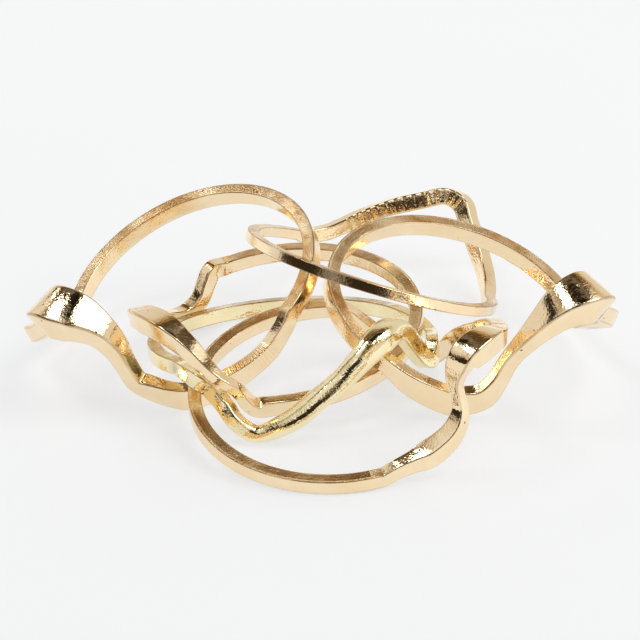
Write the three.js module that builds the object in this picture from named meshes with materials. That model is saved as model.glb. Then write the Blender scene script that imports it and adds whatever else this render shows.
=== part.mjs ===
// Six loose bands of a puzzle ring, lying in the interlinked heap they fall into when the ring
// comes undone. Millimetres, +Z up; the origin is on the table under the middle of the heap.
import * as THREE from 'three';

// Warm gold for five of the bands, a paler gold for one
const WARM_GOLD = { color: 0xd9a566, roughness: 0.24, metalness: 1 };
const PALE_GOLD = { color: 0xd2bd72, roughness: 0.26, metalness: 1 };

// Fineness of the loft along a band and round its bar
const STEPS_PER_ROW = 2;
const SHANK_STEP_DEG = 6.5;
const SHANK_EASE_DEG = 5;
const SECTION_CORNERS = 4;
const FACETS_PER_CORNER = 2;
const SQUARE_EDGE = 0.16;
const FULL_TURN_DEG = 360;

// The whole heap, settled onto its lowest points and centred over the origin
const HEAP_LEAN = { angle: 1.46, toward: -33.8 };
const HEAP_PLACE = [0.01, 8.785, -0.397];

// Columns of each head table, going counter-clockwise round the band:
// at: degrees round the band; out: rise of the centre line off the shank's own circle;
// along: shift of the centre line along the finger; wide and thick: size of the bar there;
// edge: corner radius as a share of half the thickness.
const column = { at: 0, out: 1, along: 2, wide: 3, thick: 4, edge: 5 };

const BANDS = [
  {
    name: 'left_wing_band',
    gold: WARM_GOLD,
    outerRadius: 9.9,
    centre: [-9.3, -4.4, 4.9],
    lean: { angle: 27.9, toward: -145 },
    shank: { wide: 1.3, thick: 0.95 },
    head: [
      [158, 0.0, 0.0, 1.3, 0.95, 0.2],
      [169, 0.1, 0.2, 1.3, 1.0, 0.2],
      [179, 0.5, 1.0, 1.3, 1.1, 0.3],
      [188, 1.3, 2.2, 1.3, 1.2, 0.35],
      [195, 1.8, 3.6, 1.4, 1.3, 0.35],
      [204, 1.2, 4.8, 1.3, 1.3, 0.35],
      [213, 0.5, 6.2, 1.6, 1.8, 0.3],
      [223, 0.6, 8.1, 2.5, 2.9, 0.15],
      [231, 0.4, 8.1, 2.5, 3.1, 0.15],
      [237, 0.2, 7.5, 2.4, 2.7, 0.18],
      [243, 0.2, 6.4, 2.0, 1.9, 0.2],
      [246, 0.3, 4.9, 1.6, 1.5, 0.25],
      [247, 0.5, 3.4, 1.3, 1.3, 0.3],
      [248, 0.7, 1.8, 1.4, 1.2, 0.3],
      [252, 0.8, 1.1, 1.7, 1.1, 0.25],
      [260, 1.0, 0.2, 1.9, 0.95, 0.2],
      [267, 1.0, -0.4, 2.0, 0.95, 0.2],
      [277, 0.1, -1.3, 1.9, 0.95, 0.2],
      [292, 0.0, -1.2, 1.5, 0.95, 0.2],
      [304, 0.0, -1.0, 1.4, 0.95, 0.2],
      [316, 0.0, -0.4, 1.3, 0.95, 0.2],
    ],
  },
  {
    name: 'right_wing_band',
    gold: WARM_GOLD,
    outerRadius: 9.8,
    centre: [9.8, -7.4, 4.8],
    lean: { angle: 19.2, toward: -37 },
    shank: { wide: 1.3, thick: 0.95 },
    head: [
      [-124, 0.0, 0.1, 1.3, 0.95, 0.2],
      [-110, 0.0, -0.4, 1.8, 0.95, 0.2],
      [-93, 0.0, -0.7, 2.1, 0.95, 0.2],
      [-85, 0.1, -0.3, 2.1, 0.95, 0.2],
      [-79, 0.3, 0.6, 1.8, 1.0, 0.25],
      [-76, 0.3, 2.1, 1.3, 1.1, 0.3],
      [-74, 0.2, 3.9, 1.2, 1.1, 0.3],
      [-71, 0.4, 5.7, 1.3, 1.3, 0.25],
      [-66, 0.5, 7.6, 1.7, 1.9, 0.2],
      [-60, 0.6, 9.1, 2.3, 2.6, 0.15],
      [-53, 0.7, 9.6, 2.5, 3.1, 0.15],
      [-46, 0.6, 9.1, 2.4, 2.7, 0.15],
      [-36, 0.4, 7.3, 1.4, 1.5, 0.3],
      [-22, 0.8, 5.5, 1.3, 1.3, 0.3],
      [-13, 0.8, 4.1, 1.3, 1.2, 0.3],
      [-5, 0.5, 2.8, 1.3, 1.2, 0.3],
      [3, 0.2, 1.4, 1.3, 1.1, 0.3],
      [10, 0.1, 0.3, 1.3, 1.0, 0.2],
      [16, 0.0, 0.0, 1.3, 0.95, 0.2],
    ],
  },
  {
    name: 'crook_band',
    gold: WARM_GOLD,
    outerRadius: 10.1,
    centre: [-2.6, -7.35, 3.45],
    lean: { angle: 9.1, toward: -135 },
    shank: { wide: 1.1, thick: 0.95 },
    head: [
      [114, 0.0, 0.0, 1.1, 0.95, 0.2],
      [118, 0.2, -0.1, 1.2, 1.0, 0.2],
      [124, 0.0, 0.1, 1.2, 1.1, 0.2],
      [129, -0.2, -0.6, 1.2, 1.1, 0.25],
      [134, -0.3, -1.5, 1.2, 1.1, 0.3],
      [140, 0.1, -2.2, 1.2, 1.1, 0.3],
      [148, 0.3, -2.0, 1.3, 1.2, 0.3],
      [159, 0.5, -0.8, 1.3, 1.2, 0.3],
      [173, 0.5, 1.1, 1.3, 1.2, 0.3],
      [187, 0.6, 2.8, 1.4, 1.3, 0.3],
      [197, 0.6, 4.0, 1.5, 1.5, 0.25],
      [208, 0.5, 4.8, 1.6, 1.7, 0.2],
      [220, 0.4, 5.1, 1.6, 1.7, 0.2],
      [228, 0.4, 4.7, 1.5, 1.4, 0.2],
      [235, 0.7, 4.4, 1.3, 1.2, 0.2],
      [241, 1.0, 3.8, 1.1, 1.0, 0.2],
      [248, 1.5, 3.2, 0.9, 0.8, 0.25],
      [254, 1.2, 2.1, 0.9, 0.8, 0.25],
      [257, 0.5, 0.4, 1.1, 0.95, 0.25],
      [261, 0.0, -0.2, 1.3, 0.95, 0.2],
      [272, 0.0, 0.0, 1.1, 0.95, 0.2],
    ],
  },
  {
    name: 'wave_band',
    gold: PALE_GOLD,
    outerRadius: 9.9,
    centre: [-2.5, -8.7, 3.2],
    lean: { angle: 14, toward: 107 },
    shank: { wide: 1.1, thick: 0.95 },
    head: [
      [-142, 0.0, 0.0, 1.1, 0.95, 0.2],
      [-134, 0.5, 0.0, 1.1, 0.95, 0.2],
      [-126, 0.9, -0.3, 1.2, 1.0, 0.2],
      [-122, 0.5, -0.9, 1.2, 1.0, 0.25],
      [-119, 0.3, -1.6, 1.1, 1.1, 0.3],
      [-114, 0.6, -2.3, 1.1, 1.1, 0.3],
      [-110, 0.9, -3.1, 1.1, 1.1, 0.35],
      [-105, 0.8, -3.9, 1.2, 1.1, 0.6],
      [-100, 0.7, -4.1, 1.2, 1.2, 0.8],
      [-92, 0.7, -3.6, 1.5, 1.5, 0.9],
      [-84, 0.6, -2.9, 1.6, 1.6, 0.9],
      [-76, 0.6, -1.9, 1.6, 1.6, 0.9],
      [-67, 0.7, -0.9, 1.6, 1.6, 0.9],
      [-58, 0.9, 0.4, 1.7, 1.8, 0.85],
      [-49, 0.9, 1.4, 1.9, 2.2, 0.75],
      [-42, 0.8, 1.8, 1.7, 2.0, 0.6],
      [-37, 0.9, 1.6, 1.4, 1.4, 0.4],
      [-32, 0.9, 0.8, 1.4, 1.1, 0.25],
      [-28, 1.1, -0.2, 1.4, 1.0, 0.25],
      [-23, 1.2, -1.1, 1.3, 1.0, 0.25],
      [-18, 1.4, -1.4, 1.1, 1.0, 0.25],
      [-16, 1.4, -1.0, 1.0, 0.9, 0.25],
      [-14, 1.4, -0.3, 1.0, 0.9, 0.25],
      [4, 0.9, -0.5, 0.9, 0.9, 0.25],
      [16, 0.3, -0.1, 1.1, 0.95, 0.2],
      [32, 0.0, 0.0, 1.1, 0.95, 0.2],
    ],
  },
  {
    name: 'front_band',
    gold: WARM_GOLD,
    outerRadius: 10.1,
    centre: [0.9, -16.7, 3.1],
    lean: { angle: 10.3, toward: -100 },
    shank: { wide: 1.1, thick: 0.95 },
    head: [
      [-70, 0.0, 0.0, 1.1, 0.95, 0.2],
      [-64, 0.1, 0.4, 1.15, 0.95, 0.2],
      [-57, 0.2, 0.6, 1.3, 1.1, 0.2],
      [-51, 0.5, 0.9, 1.6, 1.4, 0.15],
      [-46, 0.9, 1.5, 1.7, 1.3, 0.15],
      [-42, 1.2, 2.2, 1.6, 1.2, 0.2],
      [-39, 1.3, 3.0, 1.3, 1.1, 0.25],
      [-37, 1.2, 3.9, 1.0, 0.9, 0.3],
      [-37, 1.0, 4.9, 0.8, 0.85, 0.35],
      [-37, 0.8, 5.8, 1.0, 1.0, 0.3],
      [-36, 0.9, 6.9, 1.5, 1.4, 0.25],
      [-34, 1.2, 7.8, 1.8, 1.8, 0.2],
      [-28, 1.6, 8.1, 1.8, 1.9, 0.2],
      [-22, 1.9, 7.9, 1.6, 1.7, 0.2],
      [-15, 2.0, 7.1, 1.4, 1.4, 0.25],
      [-8, 1.9, 6.4, 1.2, 1.2, 0.3],
      [-1, 1.4, 5.7, 1.2, 1.1, 0.3],
      [6, 0.6, 4.4, 1.3, 1.1, 0.3],
      [18, 0.2, 2.5, 1.4, 1.1, 0.3],
      [34, 0.9, -0.2, 1.4, 1.1, 0.3],
      [44, 1.3, -2.6, 1.2, 1.0, 0.3],
      [50, 1.1, -3.5, 1.2, 1.0, 0.3],
      [59, 0.8, -3.2, 1.1, 1.0, 0.3],
      [71, 0.2, -2.2, 1.2, 1.0, 0.3],
      [84, 0.0, -0.3, 1.1, 0.95, 0.2],
    ],
  },
  {
    name: 'rear_band',
    gold: WARM_GOLD,
    outerRadius: 9.6,
    centre: [3.8, -1.7, 5.1],
    lean: { angle: 24.8, toward: 47 },
    shank: { wide: 0.8, thick: 0.9 },
    head: [
      [6, 0.0, 0.0, 0.8, 0.9, 0.2],
      [18, 0.4, 0.6, 1.0, 1.0, 0.25],
      [28, 0.7, 1.6, 1.1, 1.1, 0.25],
      [37, 0.7, 2.9, 1.3, 1.2, 0.3],
      [46, 0.6, 4.5, 1.3, 1.2, 0.3],
      [53, 0.8, 5.6, 1.4, 1.3, 0.25],
      [61, 0.6, 5.8, 1.3, 1.4, 0.25],
      [70, 0.5, 5.0, 1.3, 1.4, 0.25],
      [80, 0.4, 4.1, 1.3, 1.4, 0.25],
      [88, 0.3, 3.3, 1.2, 1.4, 0.25],
      [96, 0.2, 2.3, 1.2, 1.3, 0.25],
      [104, 0.1, 1.3, 1.1, 1.2, 0.25],
      [112, 0.0, 0.5, 1.1, 1.0, 0.25],
      [123, 0.0, 0.0, 1.0, 0.9, 0.2],
    ],
  },
];

const radians = THREE.MathUtils.degToRad;

// One row of a band: where the bar's centre is, and how big it is there
function station(band, row) {
  const radius = band.outerRadius - band.shank.thick / 2 + row[column.out];
  const angle = radians(row[column.at]);
  return {
    centre: new THREE.Vector3(radius * Math.cos(angle), radius * Math.sin(angle), row[column.along]),
    wide: row[column.wide],
    thick: row[column.thick],
    edge: row[column.edge],
  };
}

// The plain part of the band, from the head's last row round to its first
function shankRows(band) {
  const first = band.head[0][column.at];
  const last = band.head[band.head.length - 1][column.at];
  const start = last + SHANK_EASE_DEG;
  const span = first + FULL_TURN_DEG - SHANK_EASE_DEG - start;
  const count = Math.round(span / SHANK_STEP_DEG);
  const rows = [];
  for (let i = 0; i <= count; i += 1) {
    rows.push([start + (span * i) / count, 0, 0, band.shank.wide, band.shank.thick, SQUARE_EDGE]);
  }
  return rows;
}

function smooth(a, b, c, d, t) {
  return 0.5 * (2 * b + (c - a) * t + (2 * a - 5 * b + 4 * c - d) * t * t
    + (3 * b - a - 3 * c + d) * t * t * t);
}

// Closed run of stations: the head eased through its rows, then the shank's even arc
function runOfStations(band) {
  const rows = [...band.head, ...shankRows(band)].map((row) => station(band, row));
  const total = rows.length;
  const run = [];
  for (let i = 0; i < total; i += 1) {
    const [a, b, c, d] = [-1, 0, 1, 2].map((k) => rows[(i + k + total) % total]);
    const steps = i < band.head.length ? STEPS_PER_ROW : 1;
    for (let s = 0; s < steps; s += 1) {
      const t = s / steps;
      const mix = (key) => smooth(a[key], b[key], c[key], d[key], t);
      const mixAxis = (axis) => smooth(a.centre[axis], b.centre[axis], c.centre[axis], d.centre[axis], t);
      run.push({
        centre: new THREE.Vector3(mixAxis('x'), mixAxis('y'), mixAxis('z')),
        wide: mix('wide'),
        thick: mix('thick'),
        edge: mix('edge'),
      });
    }
  }
  return run;
}

// Rounded bar section: x across the band's width, y through its thickness
function sectionOutline(wide, thick, edge) {
  const radius = (Math.min(wide, thick) / 2) * THREE.MathUtils.clamp(edge, SQUARE_EDGE, 1);
  const points = [];
  for (let corner = 0; corner < SECTION_CORNERS; corner += 1) {
    const signX = corner === 0 || corner === 3 ? 1 : -1;
    const signY = corner < 2 ? 1 : -1;
    for (let k = 0; k <= FACETS_PER_CORNER; k += 1) {
      const angle = (Math.PI / 2) * (corner + k / FACETS_PER_CORNER);
      points.push(new THREE.Vector2(
        signX * (wide / 2 - radius) + radius * Math.cos(angle),
        signY * (thick / 2 - radius) + radius * Math.sin(angle),
      ));
    }
  }
  return points;
}

function bandGeometry(band) {
  const run = runOfStations(band);
  const count = run.length;
  const positions = [];
  let sides = 0;
  run.forEach((here, i) => {
    const before = run[(i - 1 + count) % count].centre;
    const after = run[(i + 1) % count].centre;
    const tangent = new THREE.Vector3().subVectors(after, before).normalize();
    const outward = new THREE.Vector3(here.centre.x, here.centre.y, 0).normalize();
    outward.addScaledVector(tangent, -outward.dot(tangent)).normalize();
    const across = new THREE.Vector3().crossVectors(outward, tangent);
    const outline = sectionOutline(here.wide, here.thick, here.edge);
    sides = outline.length;
    outline.forEach((p) => {
      const point = here.centre.clone().addScaledVector(across, p.x).addScaledVector(outward, p.y);
      positions.push(point.x, point.y, point.z);
    });
  });
  const index = [];
  for (let i = 0; i < count; i += 1) {
    for (let k = 0; k < sides; k += 1) {
      const a = i * sides + k;
      const b = i * sides + ((k + 1) % sides);
      const c = ((i + 1) % count) * sides + k;
      const d = ((i + 1) % count) * sides + ((k + 1) % sides);
      index.push(a, b, c, b, d, c);
    }
  }
  const geometry = new THREE.BufferGeometry();
  geometry.setAttribute('position', new THREE.Float32BufferAttribute(positions, 3));
  geometry.setIndex(index);
  geometry.computeVertexNormals();
  return geometry;
}

// Leaning tips an object's axis towards one compass direction, so that side lies lowest
function leanObject(object, lean) {
  const toward = radians(lean.toward);
  const hinge = new THREE.Vector3(-Math.sin(toward), Math.cos(toward), 0);
  object.quaternion.setFromAxisAngle(hinge, radians(lean.angle));
}

function bandMesh(band) {
  const mesh = new THREE.Mesh(bandGeometry(band), new THREE.MeshStandardMaterial(band.gold));
  mesh.name = band.name;
  mesh.position.set(...band.centre);
  leanObject(mesh, band.lean);
  return mesh;
}

const group = new THREE.Group();
group.name = 'heap';
BANDS.forEach((band) => group.add(bandMesh(band)));
leanObject(group, HEAP_LEAN);
group.position.set(...HEAP_PLACE);
export default group;
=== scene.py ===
import math

import bpy
from mathutils import Matrix, Vector


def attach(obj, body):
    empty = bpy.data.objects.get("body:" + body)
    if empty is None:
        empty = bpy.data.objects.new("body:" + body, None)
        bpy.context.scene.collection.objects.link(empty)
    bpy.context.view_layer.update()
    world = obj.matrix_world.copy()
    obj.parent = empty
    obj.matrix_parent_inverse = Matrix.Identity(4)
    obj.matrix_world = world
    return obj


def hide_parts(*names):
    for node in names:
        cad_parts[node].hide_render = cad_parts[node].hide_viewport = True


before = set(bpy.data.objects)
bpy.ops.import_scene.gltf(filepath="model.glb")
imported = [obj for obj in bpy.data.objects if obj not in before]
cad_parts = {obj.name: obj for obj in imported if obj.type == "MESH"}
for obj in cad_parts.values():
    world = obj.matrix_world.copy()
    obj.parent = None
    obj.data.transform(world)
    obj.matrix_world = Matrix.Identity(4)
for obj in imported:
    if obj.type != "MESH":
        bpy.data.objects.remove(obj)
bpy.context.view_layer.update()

MM = 0.001

# The heap as it settled on the table: lean in degrees towards a compass direction, then place in mm
HEAP_LEAN = (1.46, -33.8)
HEAP_PLACE = (0.01, 8.785, -0.397)

# Camera, measured from the heap's own origin
VIEW_ELEVATION_DEG = 28.0
VIEW_DISTANCE_MM = 240.0
PIXELS_PER_MM = 13.4
IMAGE_SIZE_PX = 640.0
SENSOR_MM = 36.0
NEAREST_SEEN_MM = 10.0

# Fineness of the bars: steps between two head rows, degrees between two shank rows and from the shank to
# the head, then steps round a corner of the section and along a flat
HEAD_STEPS = 12
SHANK_STEP_DEG = 1.5
SHANK_EASE_DEG = 5.0
CORNER_STEPS = 5
FLAT_STEPS = 6
# Sharpest corner of a bar, as an edge in the head tables, and the mm that polishing took off each side
SQUARE_EDGE = 0.16
POLISHED_AWAY = 0.02

# Patterns in the gold: cells a metre, detail and, where it isn't even, the roughness of the detail
ROLLING = (170.0, 1.0)
STAINS = (260.0, 3.0, 0.6)
CLOUDS = (420.0, 3.0, 0.6)
RIPPLE = (900.0, 2.0)
SUGAR = (6500.0, 1.0)
PIT_SCALE = 620.0
# Brushing, in cells a mm along and round the bar
BRUSH_ALONG, BRUSH_ROUND = 8.0, 4.0
BRUSHING = (1.0, 3.0, 0.7)
# Depths in mm, and how far a file mark wanders, as a share of the marks' spacing
BRUSH_DEPTH, FILE_DEPTH, PIT_DEPTH = 0.035, 0.02, 0.05
FILE_WANDER = 0.15
# Where each effect sets in and where it is full, on its pattern's scale from 0 to 1
CLOUD_SPAN = (0.35, 0.65)
STAIN_SPAN = (0.42, 0.62)
EDGE_SHADE_SPAN = (0.3, 0.55)
SHEEN_SPAN = (0.3, 0.7)
PIT_EDGE = (0.02, 0.07)
# Colours at the bottom of the pits and of the stains, and the roughness of the brushed sides
PIT_DARK_COLOUR = (0.10, 0.07, 0.04)
STAIN = (0.72, 0.49, 0.26)
SATIN = (0.12, 0.22)

# Each gold: its clear and its cloudy colour, the roughness of its polish, then depths in mm of the slow
# rolling, the ripple and the sugary grain that casting leaves
GOLDS = {
    "warm_gold": {
        "bright": (1.0, 0.85, 0.62),
        "deep": (0.98, 0.80, 0.55),
        "polish": (0.05, 0.10),
        "rolling": 0.8,
        "ripple": 0.03,
        "sugar": 0.014,
    },
    "pale_gold": {
        "bright": (0.98, 0.88, 0.63),
        "deep": (0.94, 0.83, 0.55),
        "polish": (0.03, 0.07),
        "rolling": 2.2,
        "ripple": 0.015,
        "sugar": 0.018,
    },
}

# Painted shade along the sharp corners of a bar, standing in for the dark ceiling that they reflect: its
# colour, its least and greatest strength, and the edge in the head tables at which a corner is too round to
# keep it
EDGE_SHADE_COLOUR = (0.22, 0.14, 0.07)
EDGE_SHADE_STRENGTH = (0.35, 0.8)
EDGE_SHADE_GONE_EDGE = 0.5

# Room: (elevation in degrees, colour) up the white sweep to the dark ceiling
SWEEP = [
    (0, (0.80, 0.80, 0.81)),
    (30, (0.76, 0.72, 0.66)),
    (40, (0.56, 0.46, 0.33)),
    (48, (0.29, 0.20, 0.10)),
    (55, (0.14, 0.10, 0.05)),
    (62, (0.14, 0.11, 0.08)),
    (68, (0.34, 0.31, 0.27)),
    (76, (0.05, 0.04, 0.03)),
    (90, (0.03, 0.025, 0.02)),
]
# Soft-edged patches over the sweep: azimuth, elevation, inner and outer radius in degrees, colour
PATCHES = [
    (-62, 30, 12, 27, (0.82, 0.81, 0.80)),
    (-36, 28, 3, 7, (0.10, 0.08, 0.05)),
    (172, 20, 5, 12, (0.08, 0.06, 0.04)),
    (-86, 25, 7, 14, (0.07, 0.055, 0.04)),
    (-115, 9, 14, 24, (0.07, 0.055, 0.04)),
    (-130, 58, 12, 28, (0.86, 0.86, 0.87)),
    (-168, 8, 18, 40, (0.07, 0.055, 0.04)),
    (63, 52, 11, 18, (0.97, 0.97, 0.96)),
    (-158, 36, 6, 12, (0.97, 0.97, 0.97)),
    (152, 27, 6, 11, (0.97, 0.97, 0.97)),
]
# Softboxes, all this many metres off: name, (azimuth, elevation) in degrees, size in metres, watts
LAMP_DISTANCE = 0.5
SOFTBOXES = [
    ("right_softbox", (105, 52), (0.30, 0.40), 0.95),
    ("left_softbox", (-47, 44), (0.06, 0.06), 0.048),
    ("overhead_softbox", (-86, 66), (0.16, 0.14), 0.25),
]

# Table that glows by itself, so shadows on it stay faint; its mottling in cells a metre, half side in metres
TABLE_COLOUR = (0.30, 0.30, 0.30)
TABLE_GLOW = (0.622, 0.637, 0.657)
TABLE_MOTTLING = (30.0, 2.0)
TABLE_ROUGHNESS = (0.38, 0.44)
TABLE_SPECULAR = 0.3
TABLE_HALF = 1.5
EXPOSURE = -0.49

# Marks left by the file across a bar: degrees round the band where they run, then their spacing in mm
FILED = {
    "left_wing_band": (284, 306, 0.27),
    "rear_band": (50, 104, 0.75),
}
FILED_FADE_DEG = 4.0

# Columns of each head table, going counter-clockwise round the band:
# at (degrees round), out (mm off the shank's circle), along (mm along the finger),
# wide and thick (mm), edge (corner radius as a share of half the bar's smaller side)
AT, OUT, ALONG, WIDE, THICK, EDGE = range(6)
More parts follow.
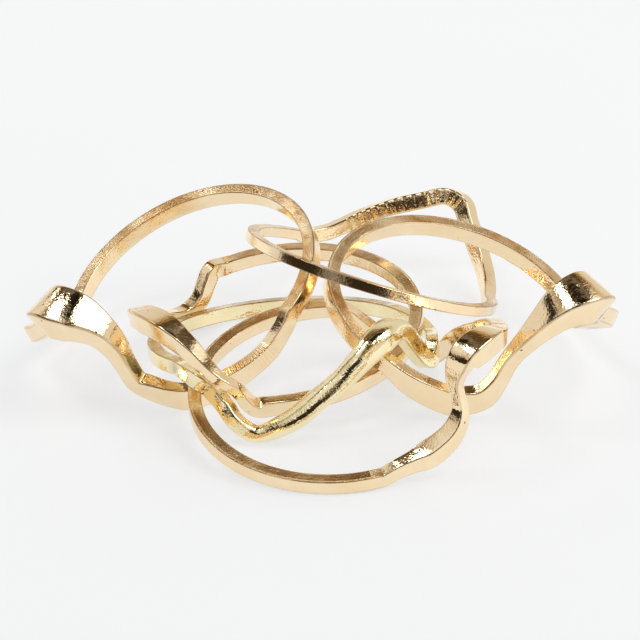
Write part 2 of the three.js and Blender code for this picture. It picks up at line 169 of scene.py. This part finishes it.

# Each band, with the sizes of the solid that its skin replaces: the slot of its gold, its outer radius,
# centre and lean, the shank's width and thickness, and its head table. In most head rows at, out and along
# were computed by a program, from a point picked on a photo and a guessed depth, and then rounded.
BANDS = {
    "left_wing_band": {
        "slot": "warm_gold",
        "outer_radius": 9.9,
        "centre": (-9.3, -4.4, 4.9),
        "lean": (27.9, -145),
        "shank": (1.3, 0.95),
        "head": [
            (158, 0.0, 0.0, 1.3, 0.95, 0.2),
            (169, 0.1, 0.2, 1.3, 1.0, 0.2),
            (179, 0.5, 1.0, 1.3, 1.1, 0.3),
            (188, 1.3, 2.2, 1.3, 1.2, 0.35),
            (195, 1.8, 3.6, 1.4, 1.3, 0.35),
            (204, 1.2, 4.8, 1.3, 1.3, 0.35),
            (213, 0.5, 6.2, 1.6, 1.8, 0.3),
            (223, 0.6, 8.1, 2.5, 2.9, 0.15),
            (231, 0.4, 8.1, 2.5, 3.1, 0.15),
            (237, 0.2, 7.5, 2.4, 2.7, 0.18),
            (243, 0.2, 6.4, 2.0, 1.9, 0.2),
            (246, 0.3, 4.9, 1.6, 1.5, 0.25),
            (247, 0.5, 3.4, 1.3, 1.3, 0.3),
            (248, 0.7, 1.8, 1.4, 1.2, 0.3),
            (252, 0.8, 1.1, 1.7, 1.1, 0.25),
            (260, 1.0, 0.2, 1.9, 0.95, 0.2),
            (267, 1.0, -0.4, 2.0, 0.95, 0.2),
            (277, 0.1, -1.3, 1.9, 0.95, 0.2),
            (292, 0.0, -1.2, 1.5, 0.95, 0.2),
            (304, 0.0, -1.0, 1.4, 0.95, 0.2),
            (316, 0.0, -0.4, 1.3, 0.95, 0.2),
        ],
    },
    "right_wing_band": {
        "slot": "warm_gold",
        "outer_radius": 9.8,
        "centre": (9.8, -7.4, 4.8),
        "lean": (19.2, -37),
        "shank": (1.3, 0.95),
        "head": [
            (-124, 0.0, 0.1, 1.3, 0.95, 0.2),
            (-110, 0.0, -0.4, 1.8, 0.95, 0.2),
            (-93, 0.0, -0.7, 2.1, 0.95, 0.2),
            (-85, 0.1, -0.3, 2.1, 0.95, 0.2),
            (-79, 0.3, 0.6, 1.8, 1.0, 0.25),
            (-76, 0.3, 2.1, 1.3, 1.1, 0.3),
            (-74, 0.2, 3.9, 1.2, 1.1, 0.3),
            (-71, 0.4, 5.7, 1.3, 1.3, 0.25),
            (-66, 0.5, 7.6, 1.7, 1.9, 0.2),
            (-60, 0.6, 9.1, 2.3, 2.6, 0.15),
            (-53, 0.7, 9.6, 2.5, 3.1, 0.15),
            (-46, 0.6, 9.1, 2.4, 2.7, 0.15),
            (-36, 0.4, 7.3, 1.4, 1.5, 0.3),
            (-22, 0.8, 5.5, 1.3, 1.3, 0.3),
            (-13, 0.8, 4.1, 1.3, 1.2, 0.3),
            (-5, 0.5, 2.8, 1.3, 1.2, 0.3),
            (3, 0.2, 1.4, 1.3, 1.1, 0.3),
            (10, 0.1, 0.3, 1.3, 1.0, 0.2),
            (16, 0.0, 0.0, 1.3, 0.95, 0.2),
        ],
    },
    "crook_band": {
        "slot": "warm_gold",
        "outer_radius": 10.1,
        "centre": (-2.6, -7.35, 3.45),
        "lean": (9.1, -135),
        "shank": (1.1, 0.95),
        "head": [
            (114, 0.0, 0.0, 1.1, 0.95, 0.2),
            (118, 0.2, -0.1, 1.2, 1.0, 0.2),
            (124, 0.0, 0.1, 1.2, 1.1, 0.2),
            (129, -0.2, -0.6, 1.2, 1.1, 0.25),
            (134, -0.3, -1.5, 1.2, 1.1, 0.3),
            (140, 0.1, -2.2, 1.2, 1.1, 0.3),
            (148, 0.3, -2.0, 1.3, 1.2, 0.3),
            (159, 0.5, -0.8, 1.3, 1.2, 0.3),
            (173, 0.5, 1.1, 1.3, 1.2, 0.3),
            (187, 0.6, 2.8, 1.4, 1.3, 0.3),
            (197, 0.6, 4.0, 1.5, 1.5, 0.25),
            (208, 0.5, 4.8, 1.6, 1.7, 0.2),
            (220, 0.4, 5.1, 1.6, 1.7, 0.2),
            (228, 0.4, 4.7, 1.5, 1.4, 0.2),
            (235, 0.7, 4.4, 1.3, 1.2, 0.2),
            (241, 1.0, 3.8, 1.1, 1.0, 0.2),
            (248, 1.5, 3.2, 0.9, 0.8, 0.25),
            (254, 1.2, 2.1, 0.9, 0.8, 0.25),
            (257, 0.5, 0.4, 1.1, 0.95, 0.25),
            (261, 0.0, -0.2, 1.3, 0.95, 0.2),
            (272, 0.0, 0.0, 1.1, 0.95, 0.2),
        ],
    },
    "wave_band": {
        "slot": "pale_gold",
        "outer_radius": 9.9,
        "centre": (-2.5, -8.7, 3.2),
        "lean": (14, 107),
        "shank": (1.1, 0.95),
        "head": [
            (-142, 0.0, 0.0, 1.1, 0.95, 0.2),
            (-134, 0.5, 0.0, 1.1, 0.95, 0.2),
            (-126, 0.9, -0.3, 1.2, 1.0, 0.2),
            (-122, 0.5, -0.9, 1.2, 1.0, 0.25),
            (-119, 0.3, -1.6, 1.1, 1.1, 0.3),
            (-114, 0.6, -2.3, 1.1, 1.1, 0.3),
            (-110, 0.9, -3.1, 1.1, 1.1, 0.35),
            (-105, 0.8, -3.9, 1.2, 1.1, 0.6),
            (-100, 0.7, -4.1, 1.2, 1.2, 0.8),
            (-92, 0.7, -3.6, 1.5, 1.5, 0.9),
            (-84, 0.6, -2.9, 1.6, 1.6, 0.9),
            (-76, 0.6, -1.9, 1.6, 1.6, 0.9),
            (-67, 0.7, -0.9, 1.6, 1.6, 0.9),
            (-58, 0.9, 0.4, 1.7, 1.8, 0.85),
            (-49, 0.9, 1.4, 1.9, 2.2, 0.75),
            (-42, 0.8, 1.8, 1.7, 2.0, 0.6),
            (-37, 0.9, 1.6, 1.4, 1.4, 0.4),
            (-32, 0.9, 0.8, 1.4, 1.1, 0.25),
            (-28, 1.1, -0.2, 1.4, 1.0, 0.25),
            (-23, 1.2, -1.1, 1.3, 1.0, 0.25),
            (-18, 1.4, -1.4, 1.1, 1.0, 0.25),
            (-16, 1.4, -1.0, 1.0, 0.9, 0.25),
            (-14, 1.4, -0.3, 1.0, 0.9, 0.25),
            (4, 0.9, -0.5, 0.9, 0.9, 0.25),
            (16, 0.3, -0.1, 1.1, 0.95, 0.2),
            (32, 0.0, 0.0, 1.1, 0.95, 0.2),
        ],
    },
    "front_band": {
        "slot": "warm_gold",
        "outer_radius": 10.1,
        "centre": (0.9, -16.7, 3.1),
        "lean": (10.3, -100),
        "shank": (1.1, 0.95),
        "head": [
            (-70, 0.0, 0.0, 1.1, 0.95, 0.2),
            (-64, 0.1, 0.4, 1.15, 0.95, 0.2),
            (-57, 0.2, 0.6, 1.3, 1.1, 0.2),
            (-51, 0.5, 0.9, 1.6, 1.4, 0.15),
            (-46, 0.9, 1.5, 1.7, 1.3, 0.15),
            (-42, 1.2, 2.2, 1.6, 1.2, 0.2),
            (-39, 1.3, 3.0, 1.3, 1.1, 0.25),
            (-37, 1.2, 3.9, 1.0, 0.9, 0.3),
            (-37, 1.0, 4.9, 0.8, 0.85, 0.35),
            (-37, 0.8, 5.8, 1.0, 1.0, 0.3),
            (-36, 0.9, 6.9, 1.5, 1.4, 0.25),
            (-34, 1.2, 7.8, 1.8, 1.8, 0.2),
            (-28, 1.6, 8.1, 1.8, 1.9, 0.2),
            (-22, 1.9, 7.9, 1.6, 1.7, 0.2),
            (-15, 2.0, 7.1, 1.4, 1.4, 0.25),
            (-8, 1.9, 6.4, 1.2, 1.2, 0.3),
            (-1, 1.4, 5.7, 1.2, 1.1, 0.3),
            (6, 0.6, 4.4, 1.3, 1.1, 0.3),
            (18, 0.2, 2.5, 1.4, 1.1, 0.3),
            (34, 0.9, -0.2, 1.4, 1.1, 0.3),
            (44, 1.3, -2.6, 1.2, 1.0, 0.3),
            (50, 1.1, -3.5, 1.2, 1.0, 0.3),
            (59, 0.8, -3.2, 1.1, 1.0, 0.3),
            (71, 0.2, -2.2, 1.2, 1.0, 0.3),
            (84, 0.0, -0.3, 1.1, 0.95, 0.2),
        ],
    },
    "rear_band": {
        "slot": "warm_gold",
        "outer_radius": 9.6,
        "centre": (3.8, -1.7, 5.1),
        "lean": (24.8, 47),
        "shank": (0.8, 0.9),
        "head": [
            (6, 0.0, 0.0, 0.8, 0.9, 0.2),
            (18, 0.4, 0.6, 1.0, 1.0, 0.25),
            (28, 0.7, 1.6, 1.1, 1.1, 0.25),
            (37, 0.7, 2.9, 1.3, 1.2, 0.3),
            (46, 0.6, 4.5, 1.3, 1.2, 0.3),
            (53, 0.8, 5.6, 1.4, 1.3, 0.25),
            (61, 0.6, 5.8, 1.3, 1.4, 0.25),
            (70, 0.5, 5.0, 1.3, 1.4, 0.25),
            (80, 0.4, 4.1, 1.3, 1.4, 0.25),
            (88, 0.3, 3.3, 1.2, 1.4, 0.25),
            (96, 0.2, 2.3, 1.2, 1.3, 0.25),
            (104, 0.1, 1.3, 1.1, 1.2, 0.25),
            (112, 0.0, 0.5, 1.1, 1.0, 0.25),
            (123, 0.0, 0.0, 1.0, 0.9, 0.2),
        ],
    },
}


def lean_matrix(lean):
    """Tips an axis by lean[0] degrees towards the compass direction lean[1]."""
    toward = math.radians(lean[1])
    hinge = Vector((-math.sin(toward), math.cos(toward), 0.0))
    return Matrix.Rotation(math.radians(lean[0]), 4, hinge)


def heap_matrix():
    return Matrix.Translation(Vector(HEAP_PLACE) * MM) @ lean_matrix(HEAP_LEAN)


def station(band, row, plain):
    """Centre of the bar and its width and thickness in mm with its edge, then how plain a shank it is."""
    radius = band["outer_radius"] - band["shank"][1] / 2 + row[OUT]
    angle = math.radians(row[AT])
    centre = Vector((radius * math.cos(angle), radius * math.sin(angle), row[ALONG]))
    return centre, Vector((row[WIDE], row[THICK], row[EDGE])), plain


def shank_stations(band):
    first, last = band["head"][0][AT], band["head"][-1][AT]
    start = last + SHANK_EASE_DEG
    span = first + 360 - SHANK_EASE_DEG - start
    count = round(span / SHANK_STEP_DEG)
    wide, thick = band["shank"]
    rows = [(start + span * i / count, 0, 0, wide, thick, SQUARE_EDGE) for i in range(count + 1)]
    return [station(band, row, 1.0) for row in rows]


def smooth(a, b, c, d, t):
    """Catmull-Rom between b and c."""
    return 0.5 * (2 * b + (c - a) * t + (2 * a - 5 * b + 4 * c - d) * t ** 2
                  + (3 * b - a - 3 * c + d) * t ** 3)


def run_of_stations(band):
    """The whole closed bar: its centre, size and how much of the shank's brushed finish it has."""
    head = [station(band, row, 0.0) for row in band["head"]]
    rows = head + shank_stations(band)
    total = len(rows)
    run = []
    for i in range(total):
        a, b, c, d = (rows[(i + k) % total] for k in (-1, 0, 1, 2))
        steps = HEAD_STEPS if i < len(head) else 1
        for step in range(steps):
            t = step / steps
            run.append(tuple(smooth(a[k], b[k], c[k], d[k], t) for k in range(3)))
    return run


# Corners of a section, counter-clockwise, as signs of across and outward
CORNERS = ((1, 1), (-1, 1), (-1, -1), (1, -1))


def section(wide, thick, edge):
    """Closed outline of the bar: (across, outward, share of a side face, share of the painted shade on a
    sharp corner) at each point.
    """
    wide, thick = wide - 2 * POLISHED_AWAY, thick - 2 * POLISHED_AWAY
    radius = min(wide, thick) / 2 * min(1.0, max(edge, SQUARE_EDGE))
    half_w, half_t = wide / 2 - radius, thick / 2 - radius
    # How strongly this outline's corners get painted shade, none once they are rounded this much
    sharp = max(0.0, 1.0 - max(edge, SQUARE_EDGE) / EDGE_SHADE_GONE_EDGE)
    points = []
    for corner, (sign_x, sign_y) in enumerate(CORNERS):
        for k in range(CORNER_STEPS + 1):
            angle = math.pi / 2 * (corner + k / CORNER_STEPS)
            points.append((sign_x * half_w + radius * math.cos(angle),
                           sign_y * half_t + radius * math.sin(angle),
                           abs(math.cos(angle)), sharp * abs(math.sin(2 * angle))))
        after = math.pi / 2 * (corner + 1)
        next_x, next_y = CORNERS[(corner + 1) % len(CORNERS)]
        end = (next_x * half_w + radius * math.cos(after), next_y * half_t + radius * math.sin(after))
        start = points[-1]
        for k in range(1, FLAT_STEPS):
            t = k / FLAT_STEPS
            points.append((start[0] + (end[0] - start[0]) * t, start[1] + (end[1] - start[1]) * t,
                           abs(math.cos(after)), 0.0))
    return points


def filed_share(name, centre):
    """How much of the file's marks a station has, and how often they come, per mm."""
    if name not in FILED:
        return 0.0, 1.0
    start, end, spacing = FILED[name]
    angle = math.degrees(math.atan2(centre.y, centre.x)) % 360
    inside = min(angle - start, end - angle) / FILED_FADE_DEG
    return max(0.0, min(1.0, inside)), 1.0 / spacing


def band_mesh(name, band):
    run = run_of_stations(band)
    count = len(run)
    vertices, brushed, along_mm, girth_mm, filed, marks, edge_shades = [], [], [], [], [], [], []
    travelled = 0.0
    for i, (centre, size, plain) in enumerate(run):
        before, after = run[i - 1][0], run[(i + 1) % count][0]
        tangent = (after - before).normalized()
        outward = Vector((centre.x, centre.y, 0.0)).normalized()
        outward = (outward - outward.dot(tangent) * tangent).normalized()
        across = outward.cross(tangent)
        outline = section(*size)
        if i:
            travelled += (centre - before).length
        share, per_mm = filed_share(name, centre)
        girth = 0.0
        last = outline[0]
        for x, y, side, edge_shade in outline:
            vertices.append(centre + across * x + outward * y)
            brushed.append(side * max(0.0, min(1.0, plain)))
            girth += math.hypot(x - last[0], y - last[1])
            last = (x, y)
            along_mm.append(travelled)
            girth_mm.append(girth)
            filed.append(share)
            marks.append(travelled * per_mm)
            edge_shades.append(edge_shade)
    sides = len(vertices) // count
    faces = []
    for i in range(count):
        for k in range(sides):
            near, far = i * sides, ((i + 1) % count) * sides
            next_k = (k + 1) % sides
            faces.append((near + k, far + k, far + next_k, near + next_k))
    mesh = bpy.data.meshes.new(name)
    mesh.from_pydata([v * MM for v in vertices], [], faces)
    layers = {"brushed": brushed, "along_mm": along_mm, "girth_mm": girth_mm, "filed": filed, "marks": marks,
              "edge_shade": edge_shades}
    for key, values in layers.items():
        layer = mesh.attributes.new(key, "FLOAT", "POINT")
        layer.data.foreach_set("value", values)
    mesh.polygons.foreach_set("use_smooth", [True] * len(mesh.polygons))
    mesh.update()
    return mesh


def band_piece(name, band, material):
    piece = bpy.data.objects.new(name + "_finished", band_mesh(name, band))
    bpy.context.scene.collection.objects.link(piece)
    pose = Matrix.Translation(Vector(band["centre"]) * MM) @ lean_matrix(band["lean"])
    piece.data.transform(heap_matrix() @ pose)
    piece.data.materials.append(material)
    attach(piece, "root")
    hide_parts(name)


# Materials

def node(tree, kind, **settings):
    made = tree.nodes.new(kind)
    for key, value in settings.items():
        setattr(made, key, value)
    return made


def noise(tree, vector, scale, detail, roughness=0.5):
    made = node(tree, "ShaderNodeTexNoise")
    tree.links.new(vector, made.inputs["Vector"])
    made.inputs["Scale"].default_value = scale
    made.inputs["Detail"].default_value = detail
    made.inputs["Roughness"].default_value = roughness
    return made.outputs["Fac"]


def remap(tree, value, low, high, to_low, to_high):
    made = node(tree, "ShaderNodeMapRange")
    tree.links.new(value, made.inputs["Value"])
    for key, number in (("From Min", low), ("From Max", high), ("To Min", to_low), ("To Max", to_high)):
        made.inputs[key].default_value = number
    return made.outputs["Result"]


def math_node(tree, operation, first, second=0.0):
    made = node(tree, "ShaderNodeMath", operation=operation)
    for socket, value in zip(made.inputs, (first, second)):
        if isinstance(value, (int, float)):
            socket.default_value = value
        else:
            tree.links.new(value, socket)
    return made.outputs["Value"]


def bump(tree, height, depth_mm, normal=None):
    made = node(tree, "ShaderNodeBump")
    made.inputs["Distance"].default_value = depth_mm * MM
    made.inputs["Strength"].default_value = 1.0
    tree.links.new(height, made.inputs["Height"])
    if normal is not None:
        tree.links.new(normal, made.inputs["Normal"])
    return made.outputs["Normal"]


def gold(name, look):
    """Cast gold: hand-polished with fine waviness and pits, brushed on the shank's side faces."""
    material = bpy.data.materials.new(name)
    material.use_nodes = True
    tree = material.node_tree
    shader = tree.nodes["Principled BSDF"]
    shader.inputs["Metallic"].default_value = 1.0
    place = node(tree, "ShaderNodeTexCoord").outputs["Object"]
    brushed, along, girth, filed, marks, edge_shade = (
        node(tree, "ShaderNodeAttribute", attribute_name=key).outputs["Fac"]
        for key in ("brushed", "along_mm", "girth_mm", "filed", "marks", "edge_shade"))
    grain_place = node(tree, "ShaderNodeCombineXYZ")
    tree.links.new(math_node(tree, "MULTIPLY", along, BRUSH_ALONG), grain_place.inputs["X"])
    tree.links.new(math_node(tree, "MULTIPLY", girth, BRUSH_ROUND), grain_place.inputs["Y"])
    brush_lines = noise(tree, grain_place.outputs["Vector"], *BRUSHING)
    cloudy = noise(tree, place, *CLOUDS)
    rolling = noise(tree, place, *ROLLING)
    ripple = noise(tree, place, *RIPPLE)
    sugar = noise(tree, place, *SUGAR)

    pits = node(tree, "ShaderNodeTexVoronoi")
    tree.links.new(place, pits.inputs["Vector"])
    pits.inputs["Scale"].default_value = PIT_SCALE
    pit_floor = remap(tree, pits.outputs["Distance"], *PIT_EDGE, 0.0, 1.0)

    colour = node(tree, "ShaderNodeMix", data_type="RGBA")
    tree.links.new(remap(tree, cloudy, *CLOUD_SPAN, 0.0, 1.0), colour.inputs["Factor"])
    colour.inputs["A"].default_value = (*look["bright"], 1.0)
    colour.inputs["B"].default_value = (*look["deep"], 1.0)
    stained = node(tree, "ShaderNodeMix", data_type="RGBA")
    stain = remap(tree, noise(tree, place, *STAINS), *STAIN_SPAN, 0.0, 1.0)
    tree.links.new(math_node(tree, "MULTIPLY", stain, brushed), stained.inputs["Factor"])
    tree.links.new(colour.outputs["Result"], stained.inputs["A"])
    stained.inputs["B"].default_value = (*STAIN, 1.0)
    # Darker at the bottom of each pit
    pitted = node(tree, "ShaderNodeMix", data_type="RGBA")
    tree.links.new(pit_floor, pitted.inputs["Factor"])
    pitted.inputs["A"].default_value = (*PIT_DARK_COLOUR, 1.0)
    tree.links.new(stained.outputs["Result"], pitted.inputs["B"])
    # Painted shade along the sharp corners, standing in for the dark ceiling they reflect, stronger where
    # the gold is cloudier
    edge_shaded = node(tree, "ShaderNodeMix", data_type="RGBA")
    edge_shade_amount = remap(tree, cloudy, *EDGE_SHADE_SPAN, *EDGE_SHADE_STRENGTH)
    tree.links.new(math_node(tree, "MULTIPLY", edge_shade, edge_shade_amount), edge_shaded.inputs["Factor"])
    tree.links.new(pitted.outputs["Result"], edge_shaded.inputs["A"])
    edge_shaded.inputs["B"].default_value = (*EDGE_SHADE_COLOUR, 1.0)
    tree.links.new(edge_shaded.outputs["Result"], shader.inputs["Base Color"])

    shiny = remap(tree, cloudy, *SHEEN_SPAN, *look["polish"])
    dull = remap(tree, brush_lines, *SHEEN_SPAN, *SATIN)
    roughness = node(tree, "ShaderNodeMix", data_type="FLOAT")
    tree.links.new(brushed, roughness.inputs["Factor"])
    tree.links.new(shiny, roughness.inputs["A"])
    tree.links.new(dull, roughness.inputs["B"])
    tree.links.new(roughness.outputs["Result"], shader.inputs["Roughness"])

    normal = bump(tree, rolling, look["rolling"])
    normal = bump(tree, ripple, look["ripple"], normal)
    normal = bump(tree, sugar, look["sugar"], normal)
    normal = bump(tree, math_node(tree, "MULTIPLY", brush_lines, brushed), BRUSH_DEPTH, normal)
    uneven = math_node(tree, "ADD", marks, math_node(tree, "MULTIPLY", ripple, FILE_WANDER))
    file_wave = math_node(tree, "SINE", math_node(tree, "MULTIPLY", uneven, 2 * math.pi))
    normal = bump(tree, math_node(tree, "MULTIPLY", file_wave, filed), FILE_DEPTH, normal)
    normal = bump(tree, pit_floor, PIT_DEPTH, normal)
    tree.links.new(normal, shader.inputs["Normal"])
    return material


def table_top():
    material = bpy.data.materials.new("pale_table")
    material.use_nodes = True
    tree = material.node_tree
    shader = tree.nodes["Principled BSDF"]
    place = node(tree, "ShaderNodeTexCoord").outputs["Object"]
    shader.inputs["Base Color"].default_value = (*TABLE_COLOUR, 1.0)
    shader.inputs["Emission Color"].default_value = (*TABLE_GLOW, 1.0)
    shader.inputs["Emission Strength"].default_value = 1.0
    mottled = noise(tree, place, *TABLE_MOTTLING)
    tree.links.new(remap(tree, mottled, *SHEEN_SPAN, *TABLE_ROUGHNESS), shader.inputs["Roughness"])
    shader.inputs["Specular IOR Level"].default_value = TABLE_SPECULAR
    mesh = bpy.data.meshes.new("table")
    far = TABLE_HALF
    corners = [(-far, -far, 0), (far, -far, 0), (far, far, 0), (-far, far, 0)]
    mesh.from_pydata(corners, [], [(0, 1, 2, 3)])
    table = bpy.data.objects.new("table", mesh)
    bpy.context.scene.collection.objects.link(table)
    mesh.materials.append(material)


def softbox(name, place, size, power):
    """Rectangular light, aimed at the middle of the table."""
    light = bpy.data.lights.new(name, "AREA")
    light.shape = "RECTANGLE"
    light.size, light.size_y = size
    light.energy = power
    lamp = bpy.data.objects.new(name, light)
    bpy.context.scene.collection.objects.link(lamp)
    lamp.rotation_mode = "QUATERNION"
    lamp.rotation_quaternion = (-place).to_track_quat("-Z", "Y")
    lamp.location = place


def facing(azimuth_deg, elevation_deg):
    """Unit direction; azimuth 0 looks to the back of the table, 90 to the right."""
    turn, rise = math.radians(azimuth_deg), math.radians(elevation_deg)
    return Vector((math.sin(turn) * math.cos(rise), math.cos(turn) * math.cos(rise), math.sin(rise)))


def room():
    """White sweep low down and a dark ceiling above it, with pale and dark screens round the table."""
    world = bpy.data.worlds.new("room")
    bpy.context.scene.world = world
    world.use_nodes = True
    tree = world.node_tree
    direction = node(tree, "ShaderNodeTexCoord").outputs["Generated"]
    split = node(tree, "ShaderNodeSeparateXYZ")
    tree.links.new(direction, split.inputs["Vector"])
    ramp = node(tree, "ShaderNodeValToRGB")
    tree.links.new(split.outputs["Z"], ramp.inputs["Fac"])
    stops = ramp.color_ramp.elements
    first, last = SWEEP[0], SWEEP[-1]
    stops[0].position, stops[0].color = math.sin(math.radians(first[0])), (*first[1], 1.0)
    stops[1].position, stops[1].color = math.sin(math.radians(last[0])), (*last[1], 1.0)
    for height, colour in SWEEP[1:-1]:
        stops.new(math.sin(math.radians(height))).color = (*colour, 1.0)
    seen = ramp.outputs["Color"]
    for azimuth, elevation, inner, outer, colour in PATCHES:
        toward = node(tree, "ShaderNodeVectorMath", operation="DOT_PRODUCT")
        tree.links.new(direction, toward.inputs[0])
        toward.inputs[1].default_value = facing(azimuth, elevation)
        mixed = node(tree, "ShaderNodeMix", data_type="RGBA")
        share = remap(tree, toward.outputs["Value"], math.cos(math.radians(outer)),
                      math.cos(math.radians(inner)), 0.0, 1.0)
        tree.links.new(share, mixed.inputs["Factor"])
        tree.links.new(seen, mixed.inputs["A"])
        mixed.inputs["B"].default_value = (*colour, 1.0)
        seen = mixed.outputs["Result"]
    tree.links.new(seen, tree.nodes["Background"].inputs["Color"])
    tree.nodes["Background"].inputs["Strength"].default_value = 1.0


def camera():
    lens = bpy.data.cameras.new("camera")
    lens.sensor_width = SENSOR_MM
    lens.lens = SENSOR_MM * VIEW_DISTANCE_MM * PIXELS_PER_MM / IMAGE_SIZE_PX
    lens.clip_start = NEAREST_SEEN_MM * MM
    eye = bpy.data.objects.new("camera", lens)
    bpy.context.scene.collection.objects.link(eye)
    rise = math.radians(VIEW_ELEVATION_DEG)
    place = Vector((0, -math.cos(rise), math.sin(rise))) * VIEW_DISTANCE_MM * MM
    upright = Matrix.Translation(place) @ Matrix.Rotation(math.pi / 2 - rise, 4, "X")
    eye.matrix_world = heap_matrix() @ upright
    bpy.context.scene.camera = eye


golds = {name: gold(name, look) for name, look in GOLDS.items()}

for band_name, band_table in BANDS.items():
    band_piece(band_name, band_table, golds[band_table["slot"]])

table_top()
for lamp_name, lamp_at, lamp_size, lamp_power in SOFTBOXES:
    softbox(lamp_name, facing(*lamp_at) * LAMP_DISTANCE, lamp_size, lamp_power)
room()
camera()
view = bpy.context.scene.view_settings
view.view_transform = "Standard"
view.look = "High Contrast"
view.exposure = EXPOSURE
